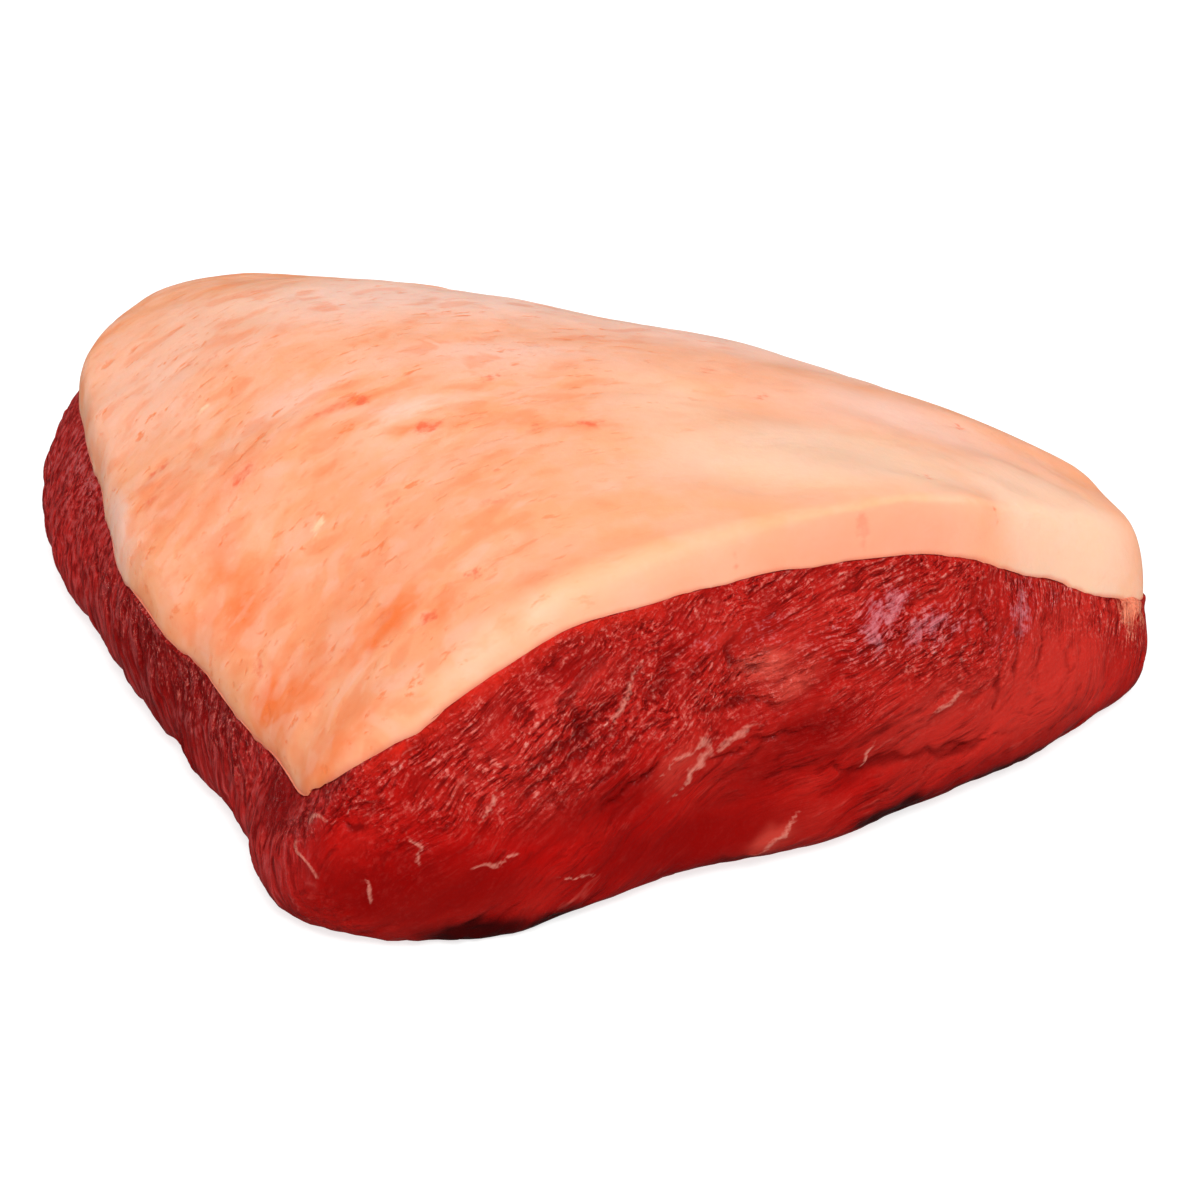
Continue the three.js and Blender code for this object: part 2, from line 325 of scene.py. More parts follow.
# the lean meat; what is drawn on the tall front side is placed by x and z
lean = {
    "making": {"hiddenSide": 1, "cornerAngle": 0.4, "lowest": -0.8, "highest": 0.72, "cuts": 2},
    # the way the fibres run on each side
    "fibres": {
        "frontLeft": (0.75, 0.24, 0.62),
        "frontRight": (0.83, 0.49, 0.24),
        "left": (-0.3, 0.35, 0.88),
        "back": (0.93, -0.3, 0.25),
        "tip": (0.1, 0.5, 0.85),
        "sole": (0.8, 0.6, 0.0),
    },
    "frontTurn": (0, 60),
    # length, width and seed of the noise along them
    "bundle": (30, 5.5, 1.7),
    "strand": (12, 1.9, 20.4),
    "crease": (26, 2.4, 40.9),
    "creased": (0.2, 0.5),
    "grain": (1.7, 63.8),
    "bends": [(12, 1.8, 11.5), (4, 0.5, 41.5)],
    "wavers": [(6, 1.0, 77.0), (2.6, 1.3, 87.0)],
    # how far each stands out of the meat
    "heights": {
        "bundle": 0.5,
        "strand": 0.3,
        "crease": -0.55,
        "grain": 0.16,
        "leftStrand": 0.25,
        "silverStrand": 0.3,
        "veins": 0.3,
        "folds": -0.8,
        "scratches": -0.25,
        "lips": -0.8,
        "hollow": -0.6,
    },
    "topFade": (0.35, 0.8),
    "rim": {"reach": 1.4, "facing": (0.5, 0.2), "out": 0.6, "calm": 0.7},
    "bandReach": 10,
    "busyElsewhere": 0.35,
    "stillness": 0.8,
    "baseFront": (-20, -40),
    # how much the creases and scratches are painted darker, as painted shade
    "creaseShares": (0.7, 0.8),
    # the low back and the bottom of the front are painted darker, as painted shade
    "lowBack": (26, 10),
    "lowFront": (9, 3),
    "lowFrontShare": 0.8,
    "veins": [
        (0.7, [(13.6, 44.5), (10.4, 39.1), (7.6, 34)]),
        (0.6, [(-8.4, 32), (-10.6, 27.9), (-12.8, 23.6)]),
        (0.8, [(17, 19.3), (21.7, 22.4), (23.3, 25.9), (26, 31)]),
        (0.6, [(15.5, 24.7), (21, 27.5), (25.6, 30.2)]),
        (0.8, [(24, 27.5), (28, 28.8), (34, 29)]),
        (0.5, [(-24.5, 23.5), (-23.1, 21.6), (-21.7, 18)]),
        (0.5, [(-42.1, 17.5), (-40.8, 15.5), (-39.5, 13.4)]),
        (0.5, [(-41, 21), (-37, 23)]),
        (0.4, [(-31, 15.5), (-30, 14), (-29.2, 10.4)]),
        (0.6, [(54.3, 21.2), (52.7, 18.3), (51.4, 16.5)]),
        (0.7, [(41, 11.2), (37.5, 6.5), (32.5, 5)]),
        (0.9, [(69.5, 24.9), (63, 21.8)]),
        (0.6, [(-13.5, 16.4), (-5, 18.6)]),
        (0.5, [(-1, 12), (5.5, 9.8)]),
    ],
    "folds": [
        (0.7, [(-7.8, 28.8), (0.8, 34.5), (6.4, 34.8)]),
        (0.6, [(-6.5, 26.1), (-2.9, 29.7), (2.7, 31.5), (9.4, 35.1)]),
        (0.6, [(6.4, 21.3), (12.6, 24.6), (18.3, 28.3)]),
        (1.1, [(2.7, 39.9), (5.1, 35), (7.7, 35)]),
        (0.9, [(28.2, 45.5), (29, 40.6), (32.5, 39)]),
        (0.6, [(23.5, 34), (30.4, 34.5), (37.5, 32.3)]),
        (0.5, [(24.3, 26.1), (33.3, 27.3), (43.2, 26.7)]),
        (0.8, [(-33.7, 22.9), (-30.6, 22.2)]),
        (1.1, [(39.5, 19.9), (51.4, 16.5), (60.2, 14.9), (71, 13.1), (79.4, 12.4)]),
    ],
    "silver": [
        (54, 42, 6, 5, 30, 1.0),
        (63, 39, 6, 4, -20, 0.85),
        (72, 37, 4, 4, 0, 0.4),
        (81, 34, 3, 6, 0, 0.8),
        (88, 31, 3, 3, 0, 0.5),
        (44, 42, 5, 3, 30, 0.45),
        (34, 45, 5, 3, 10, 0.5),
        (24, 45, 4, 3, 30, 0.45),
        (76, 31, 4, 3, 0, 0.4),
    ],
    "busy": [
        (-5, 34, 36, 11, 16, 1.0),
        (25, 38, 24, 9, 0, 1.0),
        (60, 38, 28, 8, -20, 1.0),
        (52, 30, 16, 6, 0, 0.55),
        (74, 25, 14, 6, 0, 0.45),
        (-44, 15, 10, 10, 0, 0.4),
    ],
    "deep": [
        (-22, 12, 24, 9, 0, 1.0),
        (22, 10, 28, 8, 0, 0.9),
        (43, 27, 10, 7, 0, 0.7),
        (4, 21, 16, 6, 10, 0.5),
        (72, 6, 20, 4, 5, 0.7),
    ],
    "brick": [(84, 20, 22, 13, 0, 1.0), (66, 23, 16, 9, 0, 0.8), (-8, 32, 14, 6, 25, 0.35)],
    "flesh": [
        (34, 39.5, 5, 3, 15, 1.0),
        (39, 36, 6, 3, 20, 0.7),
        (20, 26, 6, 4, 45, 0.5),
        (36, 7, 5, 3, 20, 0.6),
    ],
    # painted shade: darker patches low on the left side
    "leftShade": [(-40, 14, 26, 12, 0, 1.0), (-4, 10, 16, 8, 0, 0.5), (60, 8, 30, 6, 0, 0.5)],
    "leftSheen": [(28, 26, 26, 9, 0, 1.0), (52, 16, 12, 8, 0, 0.7), (-66, 8, 10, 5, 0, 0.4)],
    "scratches": [
        (0.5, [(70.2, 42.6), (70.2, 33.8), (70.4, 22.5)]),
        (0.4, [(73, 40.6), (72.9, 29.2)]),
        (0.5, [(76, 37.7), (76.4, 28), (75.4, 17.2)]),
        (0.5, [(80.4, 35.2), (80, 28), (78.6, 20.9)]),
        (0.4, [(85.6, 30.6), (84.7, 19.8)]),
    ],
    # the lip along the base of the front: a groove, painted near black as painted shade
    "lips": [
        (-14, 3.2, 10, 3, 0, 1.0),
        (-2, 2, 9, 2.6, 0, 0.8),
        (58, 3.6, 8, 3.4, 0, 1.0),
        (30, 3, 14, 2, 0, 0.5),
        (78, 3, 16, 2.4, 0, 0.7),
    ],
    "ledge": [(-10, 1.5, 14, 3, 0, 2.0)],
    "rich": [
        (-38, 24, 16, 13, 0, 1.0),
        (-20, 20, 18, 9, 0, 0.8),
        (-6, 17, 16, 7, 0, 0.9),
        (10, 12, 30, 8, 0, 0.7),
        (8, 33, 14, 6, 20, 0.4),
    ],
    # soft balls
    # the hollow is a dent, also painted darker as painted shade
    "hollow": ((-47, -85, 19), 6.5, 1.0),
    "pressed": [((-60, -64, 7.5), 12, 1.5), ((-73, -39, 8), 9, 0.9), ((-92, -4, 12), 14, 1.0)],
    "sinew": ((106.5, -19, 21.5), 6.5, 1.0),
    "sinewWavers": [(4, 2.6, 7.7)],
    "nub": ((107, -17.5, 21.5), 4.0, 1.3),
}


def fibreShares(places, normals):
    # how much each side's run of fibres counts here; one set melts into the next
    front = np.clip(-normals[:, 1], 0, 1) ** 2
    turned = smoothStep(*lean["frontTurn"], places[:, 0])
    shares = {
        "frontLeft": front * (1 - turned),
        "frontRight": front * turned,
        "left": np.clip(-normals[:, 0] - 0.1, 0, 1) ** 2 * 2,
        "back": np.clip(normals[:, 1], 0, 1) ** 2,
        "tip": np.clip(normals[:, 0] - 0.3, 0, 1) ** 2 * 2,
        "sole": np.clip(-normals[:, 2], 0, 1) ** 2,
    }
    total = sum(shares.values()) + 1e-6
    return {side: share / total for side, share in shares.items()}


def fibreField(places, shares, layer):
    # each side has its own noise, 3.1 on from the last one's
    length, width, seed = layer
    field = np.zeros(len(places))
    for number, (side, along) in enumerate(lean["fibres"].items()):
        field += shares[side] * fibreNoise(places, along, length, width, seed + 3.1 * number)
    return field


def layFibres(mesh, places, shares):
    # on each face's corners: the run of its main side's fibres, that of the next, and how they mix
    sides = list(shares)
    share = np.stack([shares[side] for side in sides], axis=1) ** 3
    corners = np.empty(len(mesh.loops), dtype=int)
    mesh.loops.foreach_get("vertex_index", corners)
    sizes = np.empty(len(mesh.polygons), dtype=int)
    mesh.polygons.foreach_get("loop_total", sizes)
    faceOf = np.repeat(np.arange(len(sizes)), sizes)
    faceShare = np.zeros((len(sizes), len(sides)))
    np.add.at(faceShare, faceOf, share[corners])
    order = np.argsort(-faceShare, axis=1)[faceOf]
    runs = np.stack([places @ fibreFrame(lean["fibres"][side]).T for side in sides])
    first, second = order[:, 0], order[:, 1]
    for name, chosen in (("mainRun", first), ("nextRun", second)):
        layer = mesh.attributes.new(name, "FLOAT_VECTOR", "CORNER")
        layer.data.foreach_set("vector", runs[chosen, corners].astype(np.float32).ravel())
    mixed = share[corners, second] / (share[corners, first] + share[corners, second] + 1e-9)
    layer = mesh.attributes.new("nextShare", "FLOAT", "CORNER")
    layer.data.foreach_set("value", mixed.astype(np.float32))


def leanMarks(places, normals, shares, gap):
    # everything that is drawn on the lean, as a value at each place
    front = turnedTo(-normals[:, 1])
    atBase = smoothStep(*lean["baseFront"], places[:, 1])
    drawnOn = wandered(places, lean["wavers"])
    onFront, onLeft = drawnOn[:, [0, 2]], drawnOn[:, [1, 2]]
    marks = {"front": front}
    for name in ("veins", "folds", "scratches"):
        marks[name] = drawn(onFront, lean[name]) * front
    for name in ("silver", "deep", "brick", "flesh", "rich"):
        marks[name] = patches(onFront, lean[name]) * front
    for name in ("leftShade", "leftSheen"):
        marks[name] = patches(onLeft, lean[name]) * shares["left"]
    for name in ("lips", "ledge"):
        marks[name] = patches(onFront, lean[name]) * atBase
    band = np.exp(-((gap / lean["bandReach"]) ** 2))
    busy = np.maximum(patches(onFront, lean["busy"]), band)
    marks["busy"] = busy * front + lean["busyElsewhere"] * (1 - front)
    marks["calm"] = 1 - lean["stillness"] * marks["deep"]
    return marks


def leanRelief(places, normals, shares, gap, marks, field):
    # how far each place moves out of the surface, in millimetres
    tall = lean["heights"]
    relief = tall["bundle"] * field["bundle"] + tall["grain"] * field["grain"] * marks["busy"]
    relief += (tall["strand"] * field["strand"] + tall["crease"] * field["crease"]) * marks["calm"]
    relief += tall["leftStrand"] * field["strand"] * shares["left"]
    relief += tall["silverStrand"] * field["strand"] * marks["silver"]
    relief += sum(tall[name] * marks[name] for name in ("veins", "folds", "scratches", "lips"))
    relief *= 1 - smoothStep(*lean["topFade"], normals[:, 2])
    relief += marks["ledge"] - sum(ball(places, spot) for spot in lean["pressed"])
    rim = lean["rim"]
    atRim = np.exp(-((gap / rim["reach"]) ** 2)) * smoothStep(*rim["facing"], normals[:, 2])
    relief += atRim * (rim["out"] - rim["calm"] * relief)
    return relief + ball(places, lean["nub"]) + tall["hollow"] * ball(places, lean["hollow"])


def makeLean():
    piece = smoothCopy("leanMeat", "lean_meat", lean["making"])
    mesh = piece.data
    places, normals = placesOf(mesh), normalsOf(mesh)
    shares = fibreShares(places, normals)
    bent = wandered(places, lean["bends"])
    gap = gapTo(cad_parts["fat_cap"], places)
    marks = leanMarks(places, normals, shares, gap)
    field = {name: fibreField(bent, shares, lean[name]) for name in ("bundle", "strand", "crease")}
    field["crease"] = smoothStep(*lean["creased"], field["crease"])
    field["grain"] = plainNoise(bent, *lean["grain"])
    relief = leanRelief(places, normals, shares, gap, marks, field)
    places = places + normals * relief[:, None]
    places[:, 2] = np.maximum(places[:, 2], 0)
    setPlaces(mesh, places)
    layFibres(mesh, bent, shares)
    hardenRim(mesh)

    painted = ("veins", "silver", "busy", "deep", "brick", "flesh", "rich", "leftShade", "leftSheen", "lips")
    for name in painted:
        keep(mesh, name, marks[name])
    # creases, folds and scratches are kept to be painted darker, as painted shade
    creased, scratched = lean["creaseShares"]
    crease = creased * field["crease"] * marks["calm"] + marks["folds"] + scratched * marks["scratches"]
    # painted shade, darker towards the bottom
    lowBack = smoothStep(*lean["lowBack"], places[:, 2]) * shares["back"]
    lowFront = lean["lowFrontShare"] * smoothStep(*lean["lowFront"], places[:, 2]) * marks["front"]
    keep(mesh, "crease", np.clip(crease, 0, 1))
    keep(mesh, "low", np.maximum(lowBack, lowFront))
    keep(mesh, "left", shares["left"])
    keep(mesh, "frontLeft", shares["frontLeft"])
    keep(mesh, "bundle", field["bundle"])
    keep(mesh, "gap", gap)
    # the hollow, painted darker as painted shade
    keep(mesh, "hollow", ball(places, lean["hollow"]))
    keep(mesh, "sinew", ball(wandered(places, lean["sinewWavers"]), lean["sinew"]))
    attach(piece, "root")
    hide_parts("lean_meat")
    return piece


# the fat; what is drawn on its top is placed by x and y
fat = {
    "making": {"hiddenSide": -1, "cornerAngle": 0.9, "lowest": -2, "highest": 2, "cuts": 1},
    # the way its streaks run, with the length, width and seed of the noise along it
    "along": (0.92, 0.36, 0.15),
    "dent": (8, 4.4, 3.3),
    "wrinkle": (5, 1.8, 23.3),
    "bends": [(14, 3.5, 11.5), (4, 0.9, 51.5)],
    "wavers": [(12, 3.0, 71.5), (2.4, 1.1, 91.5)],
    "fineWavers": [(1.8, 1.3, 95.5)],
    "heights": {"dent": 0.17, "wrinkle": 0.045, "spots": -0.25, "flecks": 0.25},
    "highestDent": 0.15,
    "upper": (-0.2, 0.3),
    # it grows smooth from left to right, on a slant
    "smoothed": {"share": 0.8, "from": -10, "to": 50, "slant": 0.3},
    # how far its lip hangs over the lean, at least and as it sways
    "lip": {
        "reach": 1.6,
        "facing": (-0.9, -0.3),
        "hang": 0.8,
        "leastHang": 0.65,
        "sway": 1.1,
        "sideways": 0.33,
        "wide": (7, 31.7),
        "narrow": (7 / 2.7, 35.2),
        "narrowShare": 0.6,
    },
    "filled": [
        (-38.2, -76.4, 7.5, 5.6, 63, 1.3),
        (-33.5, -67.5, 7, 5, 63, 0.4),
        (-26, -54, 12, 5, 55, 0.25),
        (60, -21, 28, 15, 4, 2.5),
        (84, -16, 14, 10, 0, 0.7),
        (62, -40.5, 13, 4.5, -4, 0.3),
        (77, -33, 8, 4.5, 50, 0.15),
    ],
    "warm": [
        (-30, -74, 9, 6, 20, 1.0),
        (-46, -70, 9, 11, 40, 1.0),
        (-36, -66, 20, 14, 45, 0.5),
        (-58, -44, 8, 20, 30, 0.75),
        (-72, -14, 7, 18, 15, 0.5),
        (-60, -20, 13, 8, 45, 0.45),
        (-37, -91, 9, 8, 0, 0.7),
        (-10, -56, 22, 8, 25, 0.3),
        (-42, -30, 16, 8, 45, 0.35),
        (3, -34, 10, 3, 10, 0.45),
        (-42, -13.5, 9, 2.5, 0, 0.7),
        (-25, -26, 7, 2.5, -8, 0.7),
        (-20, -78, 6, 4, 30, 0.7),
        (-58, -20, 5, 3.5, 40, 0.7),
        (-77, -1, 5, 4, 10, 0.6),
        (-76, -9, 3.5, 2.5, 10, 0.6),
    ],
    "blush": [
        (-80, 36, 24, 30, 0, 0.5),
        (-24, 44, 44, 26, 0, 1.0),
        (-28, -19, 12, 4, 0, 0.7),
        (-50, -4, 16, 5, 10, 0.6),
        (-62, -32, 5, 12, 30, 0.4),
        (-12, 2, 26, 10, 5, 0.7),
        (-84, -6, 3, 20, 10, 0.8),
        (62, -5, 26, 16, 0, 0.8),
        (30, 34, 50, 22, 0, 0.9),
    ],
    "cream": [
        (-20, 50, 60, 20, 0, 0.8),
        (46, -40, 34, 20, 5, 1.0),
        (88, -30, 26, 18, 20, 1.0),
        (8, -82, 34, 6, 22, 0.45),
        (20, -22, 16, 22, 0, 0.6),
        (-14, -92, 18, 5, 25, 0.4),
    ],
    "cut": [(50, -64, 30, 20, 30, 1.0), (20, -78, 20, 12, 20, 0.6)],
    "cutFacing": (0.8, 0.4),
    "flecks": [
        (0.9, [(-43.5, -43.2), (-41.1, -39.5)]),
        (1.2, [(-69.3, 9.5), (-68, 11.5)]),
        (0.9, [(-15.1, -42.8), (-10.3, -41)]),
    ],
    "spots": [
        (2.2, [(-46.9, -12.7), (-41, -14), (-36.5, -13.4)], 0.6),
        (2.8, [(-38, -13.8), (-35.4, -12.6)], 1.0),
        (2.6, [(-26.8, -25.6), (-20.7, -26.9)], 0.9),
        (2.6, [(-14.4, -9.2), (-11.7, -12.8)], 0.65),
        (2.4, [(2.6, -32.9), (7.2, -32.4)], 0.85),
        (1.9, [(-5.6, -34.3), (-3.2, -33.9)], 0.7),
        (2.2, [(-14.9, -75.2), (-12.2, -73.4)], 0.7),
        (2.4, [(-22.5, -79.6), (-19.5, -78.9)], 0.75),
        (1.6, [(-30.9, -71.6), (-27, -73.4)], 0.5),
        (2.2, [(-60.5, -22.2), (-57.6, -19.6), (-56.4, -17.8)], 0.75),
        (1.9, [(-80, -0.2), (-77, 1.6), (-74.8, 0.9)], 0.7),
        (1.9, [(-79, -7.6), (-76, -8.1)], 0.65),
        (1.7, [(-52, -57.5), (-51.5, -60.5), (-50.5, -64.3)], 0.6),
        (1.6, [(-29.9, -48.3), (-26.8, -44.7)], 0.55),
        (1.7, [(-14.9, -57.2), (-6.5, -57), (-2.3, -57.1)], 0.45),
        (1.9, [(-71.4, 28.8), (-66.5, 25.2)], 0.5),
        (1.7, [(-74.5, 36), (-71.5, 38)], 0.45),
        (1.7, [(25.5, -0.2), (27.8, 0.6)], 1.0),
        (1.8, [(35.2, -9.7), (36.9, -9)], 1.0),
        (1.5, [(40.2, -5), (41.6, -4.5)], 0.85),
        (1.5, [(57, 19), (61, 18.6)], 0.65),
        (1.6, [(73.3, 0.7), (75.2, 1.1)], 0.8),
        (1.4, [(62.3, -19.5), (63.8, -19)], 0.75),
        (1.3, [(42.5, -57), (43.6, -56.5)], 0.6),
        (1.5, [(60, -44), (66, -42.5)], 0.5),
        (1.4, [(73.8, -46.4), (75.4, -45.8)], 0.75),
        (1.2, [(48.5, -64.8), (52, -63)], 0.85),
        (1.1, [(28.4, -74), (30.4, -73.6)], 0.7),
        (1.6, [(-46, 62), (-42, 63)], 0.5),
    ],
}


def hangLip(places, shaped, normals, gap):
    # the lip hangs a little over the lean, and unevenly
    lip = fat["lip"]
    near = np.exp(-((gap / lip["reach"]) ** 2)) * smoothStep(*lip["facing"], normals[:, 2])
    sway = plainNoise(places, *lip["wide"]) + lip["narrowShare"] * plainNoise(places, *lip["narrow"])
    outwards = normals[:, :2] / (np.linalg.norm(normals[:, :2], axis=1) + 1e-6)[:, None]
    shaped[:, :2] += outwards * (near * lip["sideways"] * sway)[:, None]
    shaped[:, 2] -= near * np.maximum(lip["hang"] + lip["sway"] * sway, lip["leastHang"])


def makeFat():
    piece = smoothCopy("fatCap", "fat_cap", fat["making"])
    mesh = piece.data
    fillIn(mesh, fat["filled"])
    places, normals = placesOf(mesh), normalsOf(mesh)
    bent = wandered(places, fat["bends"])
    onTop = wandered(places, fat["wavers"])[:, :2]
    onTopFine = wandered(places, fat["fineWavers"])[:, :2]
    gap = gapTo(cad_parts["lean_meat"], places)
    dent, wrinkle = (fibreNoise(bent, fat["along"], *fat[name]) for name in ("dent", "wrinkle"))
    smoothed = fat["smoothed"]
    across = places[:, 0] - smoothed["slant"] * places[:, 1]
    worn = 1 - smoothed["share"] * smoothStep(smoothed["from"], smoothed["to"], across)
    top = smoothStep(*fat["upper"], normals[:, 2])
    spots = [strength * nearLine(onTopFine, line, width) for width, line, strength in fat["spots"]]
    spots = np.max(spots, axis=0) * top
    flecks = drawn(onTopFine, fat["flecks"]) * top
    tall = fat["heights"]
    relief = tall["dent"] * np.minimum(dent, fat["highestDent"]) + tall["wrinkle"] * wrinkle
    relief = relief * worn + tall["spots"] * spots + tall["flecks"] * flecks
    shaped = places + normals * (relief * top)[:, None]
    hangLip(places, shaped, normals, gap)
    setPlaces(mesh, shaped)
    hardenRim(mesh)

    for name in ("warm", "blush", "cream"):
        keep(mesh, name, patches(onTop, fat[name]))
    keep(mesh, "cut", smoothStep(*fat["cutFacing"], normals[:, 2]) * patches(onTop, fat["cut"]))
    keep(mesh, "dent", dent * worn)
    keep(mesh, "worn", worn)
    keep(mesh, "spots", spots)
    keep(mesh, "flecks", flecks)
    keep(mesh, "gap", gap)
    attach(piece, "root")
    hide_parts("fat_cap")
    return piece


leanPiece = makeLean()
fatPiece = makeFat()
print("shapes ready")


# tools for the finishes
def addNode(tree, kind, inputs=None, **settings):
    made = tree.nodes.new("ShaderNode" + kind)
    for name, value in settings.items():
        setattr(made, name, value)
    for name, value in (inputs or {}).items():
        if isinstance(value, bpy.types.NodeSocket):
            tree.links.new(value, made.inputs[name])
        else:
            made.inputs[name].default_value = value
    return made


def spread(tree, value, low, high, most=1.0, least=0.0):
    # a value from low..high spread to least..most, with soft ends
    given = {"Value": value, "From Min": low, "From Max": high, "To Min": least, "To Max": most}
    return addNode(tree, "MapRange", given, interpolation_type="SMOOTHSTEP").outputs["Result"]


def stored(tree, name, low=0.0, high=1.0, most=1.0, least=0.0):
    # a value kept on the piece's points
    value = addNode(tree, "Attribute", attribute_name=name).outputs["Fac"]
    return spread(tree, value, low, high, most, least)


def placeOf(tree):
    return addNode(tree, "TexCoord").outputs["Object"]


def mottle(tree, size, detail=3.0, low=0.35, high=0.65, most=1.0, least=0.0):
    # plain noise, its size in millimetres
    given = {"Vector": placeOf(tree), "Scale": 1 / (size * mm), "Detail": detail, "Roughness": 0.55}
    value = addNode(tree, "TexNoise", given).outputs["Fac"]
    return spread(tree, value, low, high, most, least)


def onRun(tree, name, length, width, detail):
    run = addNode(tree, "Attribute", attribute_name=name).outputs["Vector"]
    given = {"Vector": run, "Scale": (1 / length, 1 / width, 1 / width)}
    laid = addNode(tree, "Mapping", given, vector_type="POINT").outputs["Vector"]
    given = {"Vector": laid, "Scale": 1.0, "Detail": detail, "Roughness": 0.65}
    return addNode(tree, "TexNoise", given).outputs["Fac"]


def fibres(tree, length, width, detail):
    # streaks along the fibres that layFibres keeps on the piece
    first = onRun(tree, "mainRun", length, width, detail)
    second = onRun(tree, "nextRun", length, width, detail)
    share = addNode(tree, "Attribute", attribute_name="nextShare").outputs["Fac"]
    return addNode(tree, "Mix", {0: share, 2: first, 3: second}).outputs[0]


def wavyPlace(tree, size, reach):
    # the place, shifted about by plain noise
    given = {"Vector": placeOf(tree), "Scale": 1 / (size * mm), "Detail": 1.0}
    drift = addNode(tree, "TexNoise", given).outputs["Color"]
    given = {0: drift, 1: (reach * mm, reach * mm, reach * mm), 2: placeOf(tree)}
    return addNode(tree, "VectorMath", given, operation="MULTIPLY_ADD").outputs["Vector"]


def streak(tree, place, along, length, width, detail):
    # noise drawn out along the fibres
    turn = Vector(along).to_track_quat("X", "Z").to_euler()
    given = {"Vector": place, "Rotation": turn, "Scale": (length * mm, width * mm, width * mm)}
    laid = addNode(tree, "Mapping", given, vector_type="TEXTURE").outputs["Vector"]
    given = {"Vector": laid, "Scale": 1.0, "Detail": detail, "Roughness": 0.6}
    return addNode(tree, "TexNoise", given).outputs["Fac"]


def calc(tree, way, one, other):
    return addNode(tree, "Math", {0: one, 1: other}, operation=way).outputs["Value"]


def times(tree, one, other):
    return calc(tree, "MULTIPLY", one, other)


def blend(tree, share, under, over):
    return addNode(tree, "Mix", {0: share, 6: under, 7: over}, data_type="RGBA").outputs[2]


def tinted(tree, colour, look, zones):
    # lays colours over one another, each where the kept value named first is high
    for name, low, high, most, over in zones:
        colour = blend(tree, stored(tree, name, low, high, most), colour, look[over])
    return colour


def bump(tree, height, strength, depth):
    given = {"Height": height, "Strength": strength, "Distance": depth * mm}
    return addNode(tree, "Bump", given).outputs["Normal"]


def newMaterial(name):
    material = bpy.data.materials.new(name)
    material.use_nodes = True
    return material, material.node_tree, material.node_tree.nodes["Principled BSDF"]


def paint(tree, skin, sockets):
    for socket, value in sockets.items():
        if isinstance(value, bpy.types.NodeSocket):
            tree.links.new(value, skin.inputs[socket])
        else:
            skin.inputs[socket].default_value = value


